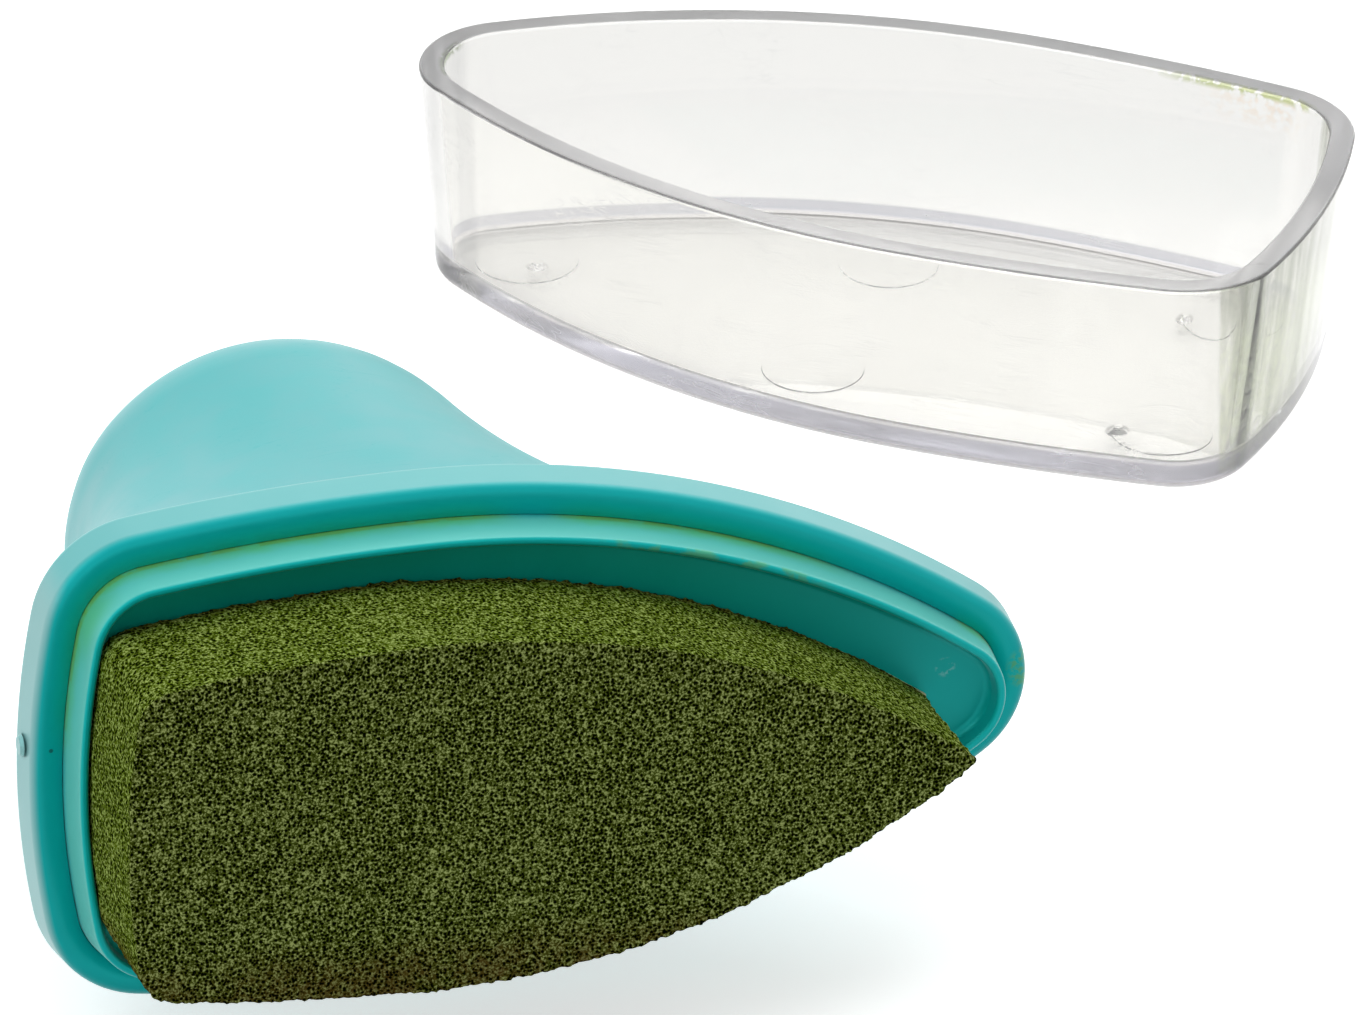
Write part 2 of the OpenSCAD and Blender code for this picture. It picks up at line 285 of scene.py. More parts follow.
def fade(tree, value, low, high, to_low=0.0, to_high=1.0):
    """value mapped smoothly from low..high to to_low..to_high; low may be the greater one."""
    values = {
        "Value": value, "From Min": low, "From Max": high, "To Min": to_low, "To Max": to_high
    }
    n = add_node(tree, "ShaderNodeMapRange", values, interpolation_type="SMOOTHSTEP")
    return n.outputs["Result"]


def stretch_of(tree, value, stretch):
    """1 along a stretch (starts, full, full, ends), fading to 0 outside it."""
    starts, full, still_full, ends = stretch
    return times(tree, fade(tree, value, starts, full), fade(tree, value, ends, still_full))


def near_place(tree, spot, place, r):
    """1 within about r millimetres of a place, fading to 0."""
    away = add_node(tree, "ShaderNodeVectorMath", {0: spot, 1: place}, operation="DISTANCE")
    return fade(tree, away.outputs["Value"], r * 1.25, r * 0.75)


def blend_colour(tree, share, a, b):
    """Colour a where share is 0, and b where it is 1."""
    return add_node(tree, "ShaderNodeMix", {0: share, 6: a, 7: b}, data_type="RGBA").outputs[2]


def noise_tex(tree, spot, scale, detail=3.0, roughness=0.5):
    """Cloudy noise from 0 to 1."""
    values = {"Vector": spot, "Scale": scale, "Detail": detail, "Roughness": roughness}
    return add_node(tree, "ShaderNodeTexNoise", values).outputs["Fac"]


def spot_of(tree):
    """The piece's own places in millimetres."""
    return add_node(tree, "ShaderNodeAttribute", attribute_name="spot").outputs["Vector"]


def axes_of(tree, spot):
    """The x, y and z of a place."""
    return add_node(tree, "ShaderNodeSeparateXYZ", {"Vector": spot}).outputs


def reach_of(tree):
    """How far outside the petal's outline the surface is, in millimetres."""
    return add_node(tree, "ShaderNodeAttribute", attribute_name="reach").outputs["Fac"]


def add_bump(tree, shader, strength, distance, height):
    """A bump on the shader's normal; distance is in metres."""
    values = {"Strength": strength, "Distance": distance, "Height": height}
    bump = add_node(tree, "ShaderNodeBump", values)
    feed(tree, shader.inputs["Normal"], bump.outputs["Normal"])


def new_group(name, inputs, outputs):
    """A shader node group with named sockets, and its input and output nodes."""
    tree = bpy.data.node_groups.new(name, "ShaderNodeTree")
    for label, kind, default in inputs:
        socket = tree.interface.new_socket(
            label, in_out="INPUT", socket_type="NodeSocket" + kind
        )
        if default is not None:
            socket.default_value = default
    for label, kind in outputs:
        tree.interface.new_socket(label, in_out="OUTPUT", socket_type="NodeSocket" + kind)
    into = tree.nodes.new("NodeGroupInput").outputs
    return tree, into, tree.nodes.new("NodeGroupOutput").inputs


def use_group(tree, group, **values):
    """Places a group in a material; a name's underscores stand for spaces."""
    n = tree.nodes.new("ShaderNodeGroup")
    n.node_tree = group
    for key, value in values.items():
        feed(tree, n.inputs[key.replace("_", " ")], value)
    return n.outputs


def new_material(name, **constants):
    """A material, its tree and its shader, with constants set on the shader's own sockets."""
    mat = bpy.data.materials.new(name)
    mat.use_nodes = True
    shader = mat.node_tree.nodes["Principled BSDF"]
    for key, value in constants.items():
        shader.inputs[key.replace("_", " ")].default_value = value
    return mat, mat.node_tree, shader


# ---------------------------------------------------------------- shared effects
# Fine scratches: how each set is turned, and how much longer its lines are than wide
SCRATCH_SETS = (((0.2, 0.1, 0.5), 14.0), ((0.4, 0.3, 2.0), 18.0), ((1.1, 0.2, 2.9), 11.0))
SCRATCH_LEVEL = 0.56
# The second, finer set of cells in the foam, against the first one
FINE_CELLS = 2.1
COARSE_SHARE, FINE_SHARE, STRAND_SHARE = 0.75, 0.25, 0.35


def make_scratches():
    """Fine straight scratches in three directions."""
    tree, into, out = new_group(
        "scratches",
        [("Spot", "Vector", None), ("Scale", "Float", 1.0), ("Width", "Float", 0.01)],
        [("Mask", "Float")],
    )
    sets = []
    for turn, stretch in SCRATCH_SETS:
        values = {"Vector": into["Spot"], "Rotation": turn, "Scale": (1.0, stretch, stretch)}
        turned = add_node(tree, "ShaderNodeMapping", values).outputs[0]
        lines = noise_tex(tree, turned, into["Scale"], detail=1.0, roughness=0.4)
        away = calc(tree, "ABSOLUTE", calc(tree, "SUBTRACT", lines, SCRATCH_LEVEL))
        share = calc(tree, "DIVIDE", away, into["Width"])
        sets.append(calc(tree, "SUBTRACT", 1.0, share, clamp=True))
    patchy = fade(tree, noise_tex(tree, into["Spot"], 0.22), 0.45, 0.65)
    feed(tree, out["Mask"], times(tree, strongest(tree, *sets), patchy))
    return tree


def make_specks():
    """Scattered round specks; few shows how rare they are."""
    tree, into, out = new_group(
        "specks",
        [
            ("Spot", "Vector", None),
            ("Scale", "Float", 0.4),
            ("Radius", "Float", 0.04),
            ("Few", "Float", 0.8),
        ],
        [("Mask", "Float")],
    )
    values = {"Vector": into["Spot"], "Scale": into["Scale"]}
    cells = add_node(tree, "ShaderNodeTexVoronoi", values).outputs
    draw = add_node(tree, "ShaderNodeSeparateColor", {"Color": cells["Color"]}).outputs[0]
    near = calc(tree, "LESS_THAN", cells["Distance"], into["Radius"])
    feed(tree, out["Mask"], times(tree, near, calc(tree, "GREATER_THAN", draw, into["Few"])))
    return tree


def make_open_cells():
    """Open-cell foam: pores painted dark as painted shade, strands round them painted bright as
    painted highlights, and the height they give.
    """
    tree, into, out = new_group(
        "open_cells",
        [("Spot", "Vector", None), ("Cells per mm", "Float", 2.0), ("Open", "Float", 0.4)],
        [("Pore shade", "Float"), ("Strand highlight", "Float"), ("Height", "Float")],
    )
    values = {0: into["Spot"], 1: (1.0, 1.0, 0.9)}
    flat = add_node(tree, "ShaderNodeVectorMath", values, operation="MULTIPLY").outputs[0]
    values = {"Vector": flat, "Scale": into["Cells per mm"], "Randomness": 0.85}
    coarse = add_node(tree, "ShaderNodeTexVoronoi", values).outputs["Distance"]
    values = {"Vector": flat, "Scale": times(tree, into["Cells per mm"], FINE_CELLS)}
    fine = add_node(tree, "ShaderNodeTexVoronoi", values).outputs["Distance"]
    strands = noise_tex(tree, into["Spot"], 8.0, detail=2.0, roughness=0.6)
    cells = calc(tree, "ADD", times(tree, coarse, COARSE_SHARE), times(tree, fine, FINE_SHARE))
    rough = times(tree, calc(tree, "SUBTRACT", strands, 0.5), STRAND_SHARE)
    height = calc(tree, "SUBTRACT", calc(tree, "ADD", cells, rough), into["Open"])
    # Where the strands get their painted highlight
    lit = times(tree, fade(tree, height, 0.08, 0.22), fade(tree, strands, 0.42, 0.62))
    # The pores, where painted shade goes
    feed(tree, out["Pore shade"], fade(tree, height, 0.05, -0.05))
    feed(tree, out["Strand highlight"], lit)
    feed(tree, out["Height"], height)
    return tree


scratches = make_scratches()
specks = make_specks()
open_cells = make_open_cells()


# ---------------------------------------------------------------- the turquoise plastic
TEAL, TEAL_PALE = (0.0, 0.37, 0.385, 1), (0.002, 0.39, 0.40, 1)
TEAL_BACK, TEAL_BACK_PALE = (0.0, 0.315, 0.335, 1), (0.002, 0.335, 0.35, 1)
# Paler teal painted on the collar's outer wall: a painted sheen and glow of thin lit plastic
TEAL_WALL_SHEEN = (0.10, 0.52, 0.46, 1)
# Paler teal painted on the flange's outer side: a painted sheen
TEAL_SIDE_SHEEN = (0.13, 0.44, 0.445, 1)
# Paler teal painted on the ledge by the collar's foot and on the collar's rim: painted light
TEAL_PAINTED_LIGHT = (0.0, 0.50, 0.49, 1)
# Whiter teal painted round the flange's blunt end: a painted sheen
TEAL_END_SHEEN = (0.26, 0.50, 0.50, 1)
TEAL_SCUFF = (0.3, 0.6, 0.6, 1)
GRIT = (0.01, 0.06, 0.06, 1)
INK_LEAF = (0.09, 0.48, 0.18, 1)
INK_OLIVE = (0.13, 0.36, 0.06, 1)
INK_TRACE = (0.0, 0.36, 0.27, 1)
PLASTIC_IOR, PLASTIC_GLEAM = 1.6, (0.15, 1.0, 1.0, 1)
PLASTIC_SHEEN, PLASTIC_SHEEN_ROUGH = 0.2, 0.3

GRIT_R = 0.11
GRIT_PLACES = (
    (-0.47, 1.52, 0.0),
    (0.22, 0.16, 1.74),
    (0.1, 0.2, 0.79),
    (0.32, -4.37, 0.68),
    (42.56, 6.49, 0.35),
)
SCUFF_PLACE, SCUFF_R = (46.6, 1.4, 1.15), 0.5
TIP_DAB_PLACE, TIP_DAB_R = (51.5, 0.4, -0.2), 1.1
# Stretches from the blunt end to the tip where ink has crept along the collar's foot and rim
FOOT_STRETCHES = (
    (-0.5, 1.0, 21.0, 24.5),
    (25.0, 27.5, 37.0, 43.0),
    (47.0, 48.3, 49.2, 49.9),
)
RIM_STRETCH = (27.0, 29.5, 37.5, 40.5)


def add_stains(tree, colour):
    """Ink along the collar's foot and rim, and a trace of it over its inner faces."""
    spot = spot_of(tree)
    x, y, z = axes_of(tree, spot)
    reach = reach_of(tree)
    outside = fade(tree, reach, -0.65, -0.47)
    inside = fade(tree, reach, -0.7, -0.87)
    upper = fade(tree, y, 0.5, 3.0)
    rag = noise_tex(tree, spot, 0.9)
    drift = fade(tree, noise_tex(tree, spot, 0.16, detail=1.0), 0.3, 0.5, 0.55, 1.0)
    runs = [stretch_of(tree, x, stretch) for stretch in FOOT_STRETCHES]
    foot = times(tree, outside, upper, strongest(tree, *runs))
    height = calc(tree, "ADD", z, times(tree, calc(tree, "SUBTRACT", rag, 0.5), 0.9))
    glow = times(tree, foot, fade(tree, height, 1.25, 0.15), drift)
    corner = times(tree, outside, fade(tree, x, 3.2, 1.4), fade(tree, y, 6.0, 8.5))
    corner = times(tree, corner, fade(tree, z, 2.6, 1.0), 0.8)
    line = times(tree, foot, fade(tree, z, 0.42, 0.2), fade(tree, rag, 0.36, 0.5))
    rim = times(tree, upper, fade(tree, z, 2.15, 2.28), fade(tree, rag, 0.45, 0.58))
    rim = times(tree, rim, stretch_of(tree, x, RIM_STRETCH))
    trace = times(tree, inside, fade(tree, x, 47.0, 30.0, 0.35, 0.9))
    colour = blend_colour(tree, times(tree, strongest(tree, glow, corner), 0.85), colour, INK_LEAF)
    colour = blend_colour(tree, times(tree, line, 0.75), colour, INK_OLIVE)
    colour = blend_colour(tree, times(tree, rim, 0.6), colour, INK_OLIVE)
    return blend_colour(tree, trace, colour, INK_TRACE)


def tray_shades(tree, colour):
    """Collar walls painted paler as a painted sheen and glow of thin lit plastic, a rim painted
    paler as a painted highlight, and ink over them.
    """
    z = axes_of(tree, spot_of(tree))["Z"]
    # The collar's outer wall, painted paler as a painted sheen
    wall = times(tree, fade(tree, reach_of(tree), -0.62, -0.5), fade(tree, z, -0.2, 0.6))
    wall = times(tree, wall, fade(tree, z, 2.34, 2.24))
    # The rim's top painted paler, a painted highlight
    rim = times(tree, fade(tree, z, 2.24, 2.34), 0.9)
    colour = blend_colour(tree, wall, colour, TEAL_WALL_SHEEN)
    colour = blend_colour(tree, rim, colour, TEAL_PAINTED_LIGHT)
    return add_stains(tree, colour)


def handle_shades(tree, colour, mottle):
    """A deeper handle behind the flange, with painted light: a paler ledge by the collar's foot, a
    painted sheen on the flange's side and round its blunt end, and a dab of ink.
    """
    spot = spot_of(tree)
    x, _, z = axes_of(tree, spot)
    reach = reach_of(tree)
    back = blend_colour(tree, mottle, TEAL_BACK, TEAL_BACK_PALE)
    behind = fade(tree, z, -FLANGE_T + 0.4, -FLANGE_T - 0.4)
    ahead = fade(tree, z, -FLANGE_T, -FLANGE_T + 0.3)
    # The ledge painted paler towards the collar's foot: painted light against the shade there
    ledge = times(tree, fade(tree, z, -0.1, -0.02), fade(tree, reach, 1.3, -0.1, 0.3, 1.0))
    # The flange's outer side, painted paler as a painted sheen
    side = times(tree, fade(tree, reach, 1.2, 1.5), fade(tree, z, -0.1, -0.6), ahead)
    # The flange's side round its blunt end, painted whiter as a painted sheen
    end_sheen = times(tree, fade(tree, reach, 1.1, 1.5), fade(tree, x, 0.6, -0.6), ahead)
    dab = near_place(tree, spot, TIP_DAB_PLACE, TIP_DAB_R)
    dab = times(tree, dab, fade(tree, noise_tex(tree, spot, 2.5), 0.4, 0.6), 0.7)
    colour = blend_colour(tree, behind, colour, back)
    colour = blend_colour(tree, ledge, colour, TEAL_PAINTED_LIGHT)
    colour = blend_colour(tree, side, colour, TEAL_SIDE_SHEEN)
    colour = blend_colour(tree, end_sheen, colour, TEAL_END_SHEEN)
    return blend_colour(tree, dab, colour, INK_OLIVE)


def make_plastic(name, tray_sheen_and_ink):
    """Satin turquoise plastic; the flag chooses the tray, with its painted sheen and highlight and
    the ink that has crept round the collar, or the handle, with its own painted light.
    """
    mat, tree, shader = new_material(
        name,
        IOR=PLASTIC_IOR,
        Specular_Tint=PLASTIC_GLEAM,
        Sheen_Weight=PLASTIC_SHEEN,
        Sheen_Roughness=PLASTIC_SHEEN_ROUGH,
    )
    spot = spot_of(tree)
    cloud = noise_tex(tree, spot, 0.3)
    mottle = fade(tree, cloud, 0.3, 0.7)
    colour = blend_colour(tree, mottle, TEAL, TEAL_PALE)
    if tray_sheen_and_ink:
        colour = tray_shades(tree, colour)
    else:
        colour = handle_shades(tree, colour, mottle)
    dust = use_group(tree, specks, Spot=spot, Scale=0.13, Radius=0.012, Few=0.6)["Mask"]
    grit = [near_place(tree, spot, place, GRIT_R) for place in GRIT_PLACES]
    scuff = near_place(tree, spot, SCUFF_PLACE, SCUFF_R)
    scuff = times(tree, scuff, fade(tree, noise_tex(tree, spot, 3.0), 0.5, 0.62), 0.5)
    colour = blend_colour(tree, times(tree, strongest(tree, dust, *grit), 0.85), colour, GRIT)
    colour = blend_colour(tree, scuff, colour, TEAL_SCUFF)
    marks = use_group(tree, scratches, Spot=spot, Scale=0.06, Width=0.003)["Mask"]
    rough = calc(tree, "ADD", fade(tree, cloud, 0.3, 0.7, 0.36, 0.41), times(tree, marks, 0.1))
    grain = times(tree, noise_tex(tree, spot, 9.0, detail=2.0), 0.3)
    feed(tree, shader.inputs["Base Color"], colour)
    feed(tree, shader.inputs["Roughness"], rough)
    add_bump(tree, shader, 0.06, 0.00003, calc(tree, "SUBTRACT", grain, marks))
    return mat


# ---------------------------------------------------------------- the inked foam
FOAM_SIDE, FOAM_SIDE_PALE = (0.068, 0.106, 0.004, 1), (0.090, 0.138, 0.007, 1)
FOAM_FACE, FOAM_FACE_PALE = (0.052, 0.074, 0.005, 1), (0.068, 0.094, 0.009, 1)
# Bright colours painted on the foam's real strands: painted highlights
STRAND_SIDE_HIGHLIGHT, STRAND_FACE_HIGHLIGHT = (0.42, 0.53, 0.15, 1), (0.47, 0.56, 0.19, 1)
FOAM_BROWN = (0.085, 0.035, 0.008, 1)
# Near-black painted into the foam's pores: painted shade
PORE_SHADE = (0.0012, 0.0025, 0.0002, 1)
CELLS_PER_MM, CELL_OPENING = 4.9, 0.42


def make_foam():
    """Open-cell foam soaked in olive ink: dark on its pressed face, greener on its cut sides."""
    mat, tree, shader = new_material("inked_foam", Roughness=0.8, Specular_IOR_Level=0.0)
    spot = spot_of(tree)
    _, y, z = axes_of(tree, spot)
    cells = use_group(tree, open_cells, Spot=spot, Cells_per_mm=CELLS_PER_MM, Open=CELL_OPENING)
    uneven = calc(tree, "ADD", z, times(tree, noise_tex(tree, spot, 1.2), 0.25))
    face = fade(tree, uneven, 9.85, 10.05)
    blotch = fade(tree, noise_tex(tree, spot, 0.5), 0.35, 0.65)
    cloudy = fade(tree, noise_tex(tree, spot, 1.4), 0.3, 0.7)
    side_colour = blend_colour(tree, cloudy, FOAM_SIDE, FOAM_SIDE_PALE)
    face_colour = blend_colour(tree, blotch, FOAM_FACE, FOAM_FACE_PALE)
    body = blend_colour(tree, face, side_colour, face_colour)
    # The strands painted bright, as painted highlights
    bright = blend_colour(tree, face, STRAND_SIDE_HIGHLIGHT, STRAND_FACE_HIGHLIGHT)
    body = blend_colour(tree, times(tree, cells["Strand highlight"], 0.9), body, bright)
    brown = times(tree, fade(tree, y, -5.5, -8.6), fade(tree, z, 10.15, 9.85))
    root = times(tree, fade(tree, z, 2.2, 1.5), 0.7)
    body = blend_colour(tree, times(tree, strongest(tree, brown, root), 0.85), body, FOAM_BROWN)
    # The pores painted near-black: painted shade
    depth = times(tree, cells["Pore shade"], fade(tree, face, 0.0, 1.0, 0.95, 1.0))
    feed(tree, shader.inputs["Base Color"], blend_colour(tree, depth, body, PORE_SHADE))
    add_bump(tree, shader, 0.7, 0.0001, cells["Height"])
    return mat


# ---------------------------------------------------------------- the clear lid and the film
CLEAR_TINT = (0.99, 0.985, 0.96, 1)
FLOOR_TINT = (0.85, 0.845, 0.825, 1)
RIM_TINT = (1.0, 0.985, 0.97, 1)
# Lilac greys painted on the lid's outer foot band: painted shade for the dark contact and
# reflections at its bottom edge
BAND_SHADE_TINT, BAND_SHADE_TINT_LOW = (0.50, 0.495, 0.55, 1), (0.60, 0.57, 0.56, 1)
# Grey-green painted on the lid's blunt end wall: a painted reflection, in vertical streaks
END_REFLECTION_TINT = (0.42, 0.44, 0.36, 1)
TIP_TINT = (0.74, 0.74, 0.73, 1)
SCRATCH_TINT = (0.72, 0.72, 0.72, 1)
RUST_TINT = (0.85, 0.6, 0.35, 1)
FAR_INK = (0.36, 0.44, 0.07, 1)
TIP_INK = (0.12, 0.2, 0.02, 1)
END_INK = (0.72, 0.8, 0.5, 1)
SHADOW_TINT = (0.93, 0.93, 0.93, 1)
DEPTH_TINT, DEPTH_DENSITY = (0.8, 0.8, 0.82, 1), 30.0
CLEAR_IOR = 1.58
FILM_CLEAN, FILM_INKED = (0.5, 0.5, 0.3, 1), (0.32, 0.36, 0.12, 1)
# Stretches of the lid, from its blunt end: a dull run by the tip, ink on the rim, and rust
DULL_STRETCH = (46.1, 46.9, 47.6, 48.3)
INK_STRETCH = (1.5, 3.0, 9.0, 13.0)
RUST_STRETCH = (2.0, 4.0, 6.0, 10.0)
# The same across the lid, for the ink on its tip
TIP_SPAN = (-1.8, -0.9, 2.4, 3.2)


def lid_tints(tree, band, rim, end, streaks):
    """Tints on the clear plastic: floor, dull rim and tip, with painted shade on the foot band and
    a painted reflection on the streaked blunt end.
    """
    x, y, z = axes_of(tree, spot_of(tree))
    reach = reach_of(tree)
    floor = fade(tree, reach, -1.0, -1.2)
    # The blunt end's painted reflection, in streaks
    streaked = times(tree, end, fade(tree, streaks, 0.35, 0.62, 0.35, 1.0))
    tip = times(tree, stretch_of(tree, x, DULL_STRETCH), fade(tree, y, 2.5, 3.5))
    tip = times(tree, strongest(tree, tip, fade(tree, x, 50.4, 51.2)), fade(tree, reach, 0.3, 0.6))
    # The foot band's painted shade
    band_colour = blend_colour(tree, fade(tree, z, 0.8, 0.5), BAND_SHADE_TINT, BAND_SHADE_TINT_LOW)
    colour = blend_colour(tree, floor, CLEAR_TINT, FLOOR_TINT)
    colour = blend_colour(tree, streaked, colour, END_REFLECTION_TINT)
    colour = blend_colour(tree, rim, colour, RIM_TINT)
    colour = blend_colour(tree, band, colour, band_colour)
    return blend_colour(tree, tip, colour, TIP_TINT)


def lid_stains(tree, colour, end):
    """Rust and dried ink on the lid's rim and inside its walls."""
    spot = spot_of(tree)
    x, y, z = axes_of(tree, spot)
    reach = reach_of(tree)
    rag = noise_tex(tree, spot, 2.2)
    inner_edge = fade(tree, z, LID_H - 0.55, LID_H - 0.2)
    inner_edge = times(tree, inner_edge, fade(tree, reach, 0.75, 0.45))
    tip_ink = times(tree, inner_edge, fade(tree, x, 49.1, 49.6), stretch_of(tree, y, TIP_SPAN))
    tip_ink = times(tree, tip_ink, fade(tree, rag, 0.3, 0.45), 0.85)
    far_ink = times(tree, inner_edge, fade(tree, y, -9.0, -11.0), stretch_of(tree, x, INK_STRETCH))
    far_ink = times(tree, far_ink, fade(tree, rag, 0.36, 0.52), 0.9)
    rust = times(tree, fade(tree, z, 10.4, 12.6), fade(tree, reach, 0.6, 0.4))
    rust = times(tree, rust, fade(tree, y, -8.0, -11.0), stretch_of(tree, x, RUST_STRETCH))
    rust = times(tree, rust, fade(tree, rag, 0.4, 0.65), 0.5)
    end_ink = times(tree, end, fade(tree, z, 11.5, 8.0), fade(tree, y, -5.0, 0.0))
    end_ink = times(tree, end_ink, fade(tree, rag, 0.3, 0.6), 0.4)
    colour = blend_colour(tree, rust, colour, RUST_TINT)
    colour = blend_colour(tree, far_ink, colour, FAR_INK)
    colour = blend_colour(tree, tip_ink, colour, TIP_INK)
    return blend_colour(tree, end_ink, colour, END_INK)


def make_clear():
    """Clear polystyrene: dull rim, fine scratches and a little dried ink, with a painted reflection
    on the streaked blunt end and painted shade on the foot band.
    """
    mat, tree, shader = new_material("clear_lid", Transmission_Weight=1.0, IOR=CLEAR_IOR)
    spot = spot_of(tree)
    x, _, z = axes_of(tree, spot)
    rim = fade(tree, z, LID_H - 0.1, LID_H - 0.01)
    # The outer foot band, for its painted shade and a duller surface
    band = times(tree, fade(tree, z, 1.85, 1.7), fade(tree, reach_of(tree), -0.45, -0.15))
    # The blunt end wall, for its painted reflection and its ink
    end = times(tree, fade(tree, x, 1.15, 0.95), fade(tree, z, 0.5, 1.0))
    values = {"Vector": spot, "Scale": (1.0, 1.0, 0.06)}
    streaks = noise_tex(tree, add_node(tree, "ShaderNodeMapping", values).outputs[0], 1.1)
    marks = use_group(tree, scratches, Spot=spot, Scale=0.09, Width=0.006)["Mask"]
    colour = lid_tints(tree, band, rim, end, streaks)
    colour = lid_stains(tree, colour, end)
    colour = blend_colour(tree, times(tree, marks, 0.3), colour, SCRATCH_TINT)
    dull = times(tree, strongest(tree, rim, times(tree, band, 0.5)), 0.3)
    rough = calc(tree, "ADD", calc(tree, "ADD", 0.02, times(tree, marks, 0.25)), dull)
    feed(tree, shader.inputs["Base Color"], colour)
    feed(tree, shader.inputs["Roughness"], rough)
    add_bump(tree, shader, 0.1, 0.00003, calc(tree, "SUBTRACT", 1.0, marks))

    shade = add_node(tree, "ShaderNodeBsdfTransparent", {"Color": SHADOW_TINT}).outputs[0]
    to_lamp = tree.nodes.new("ShaderNodeLightPath").outputs["Is Shadow Ray"]
    both = add_node(tree, "ShaderNodeMixShader", {0: to_lamp, 1: shader.outputs[0], 2: shade})
    values = {"Color": DEPTH_TINT, "Density": DEPTH_DENSITY}
    depth = add_node(tree, "ShaderNodeVolumeAbsorption", values)
    output = tree.nodes["Material Output"]
    feed(tree, output.inputs["Surface"], both.outputs[0])
    feed(tree, output.inputs["Volume"], depth.outputs[0])
    return mat


def make_film():
    """Thin adhesive film, yellowed by the ink."""
    mat, tree, shader = new_material("adhesive_film", Roughness=0.5)
    where = tree.nodes.new("ShaderNodeTexCoord").outputs["Object"]
    blot = fade(tree, noise_tex(tree, where, 300.0), 0.3, 0.7)
    feed(tree, shader.inputs["Base Color"], blend_colour(tree, blot, FILM_CLEAN, FILM_INKED))
    return mat


handle_plastic = make_plastic("handle_plastic", False)
tray_plastic = make_plastic("tray_plastic", True)
inked_foam = make_foam()
clear_lid = make_clear()
film = make_film()


# ---------------------------------------------------------------- the handle
def handle_section():
    """Rings and their outsets: over the outside, round the flange, into the pocket, and inside."""
    straight = HANDLE_LEN - KNOB_END_R
    slope = straight - ROOT_FILLET
    quarter = pi / 2
    depths = [
        straight + KNOB_END_R * sin(quarter * i / DOME_STEPS) for i in range(DOME_STEPS, 0, -1)
    ]
    depths += [ROOT_FILLET + slope * i / COVE_STEPS for i in range(COVE_STEPS, 0, -1)]
    rings = [handle_ring(d) for d in depths]
    for i in range(FILLET_STEPS + 1):
        a = quarter * i / FILLET_STEPS
        flare = ROOT_FILLET * (1 - cos(a))
        rings.append(handle_ring(ROOT_FILLET * (1 - sin(a)), flare=flare))
    flange = rounded(
        [
            (FLANGE_OUT - ROOT_INSET + ROOT_FILLET, -FLANGE_T, 0),
            (FLANGE_OUT, -FLANGE_T, FLANGE_BACK_R),
            (FLANGE_OUT - FLANGE_DRAFT, 0, FLANGE_FRONT_R),
            (TRAY_FIT - COLLAR_IN, 0, 0),
            (TRAY_FIT - COLLAR_IN, -POCKET_DEPTH, 0),
            (FLANGE_OUT - ROOT_INSET - HANDLE_WALL, -POCKET_DEPTH, 0),
        ],
        steps=8,
        guard=0.1,
    )[1:]
    reaches = [0.0] * len(rings) + [s.x for s in flange]
    rings += rings_along(flange)
    dome_r = KNOB_END_R - HANDLE_WALL
    depths = [straight * i / INNER_COVE_STEPS for i in range(INNER_COVE_STEPS + 1)]
    depths += [
        straight + dome_r * sin(quarter * i / INNER_DOME_STEPS)
        for i in range(1, INNER_DOME_STEPS + 1)
    ]
    rings += [handle_ring(d, inset=HANDLE_WALL) for d in depths]
    return rings, reaches + [0.0] * len(depths)


def make_handle():
    """The hollow handle with its flange and the gate's nub, and nothing of it under the table."""
    bm = loft(*handle_section())
    gate = bmesh.ops.create_cone(
        bm,
        segments=20,
        radius1=GATE_R,
        radius2=GATE_R * GATE_TAPER,
        depth=2 * GATE_H,
        cap_ends=True,
        matrix=Matrix.Translation((-FLANGE_OUT, GATE_Y, -FLANGE_T / 2))
        @ Matrix.Rotation(-pi / 2, 4, "Y"),
    )["verts"]
    reach = bm.verts.layers.float["reach"]
    for v in gate:
        v[reach] = FLANGE_OUT
    bmesh.ops.bevel(
        bm,
        geom=list({e for v in gate for e in v.link_edges if e.calc_face_angle(0) > 1}),
        offset=GATE_EDGE,
        segments=2,
        profile=0.5,
        affect="EDGES",
        material=-1,
    )
    obj = add_piece("handle", bm, pad_place, handle_plastic)
    for v in obj.data.vertices:
        v.co.z = max(v.co.z, 0)
    return obj


# ---------------------------------------------------------------- the tray
def make_tray():
    """The collar and its rim, the recess floor, and the foot that drops into the handle."""
    inner = -COLLAR_IN - COLLAR_DRAFT - RIM_W
    section = rounded(
        [
            (-FOOT_W, RECESS_FLOOR - PLATE_T, 0),
            (-FOOT_W, -POCKET_DEPTH, 0),
            (-COLLAR_IN, -POCKET_DEPTH, 0),
            (-COLLAR_IN, 0, 0),
            (-COLLAR_IN - COLLAR_DRAFT, COLLAR_H, RIM_R),
            (inner, COLLAR_H, RIM_R),
            (inner - RECESS_DRAFT, RECESS_FLOOR, RECESS_FILLET),
            (inner - RECESS_RING, RECESS_FLOOR, 0),
        ],
        guard=0.1,
    )
    return add_piece("tray", loft_along(section), pad_place, tray_plastic)


# ---------------------------------------------------------------- the foam
def wave(spot, often, high, shift):
    """Height of one kind of unevenness at a place."""
    return noise.noise(spot * often + Vector(shift)) * high


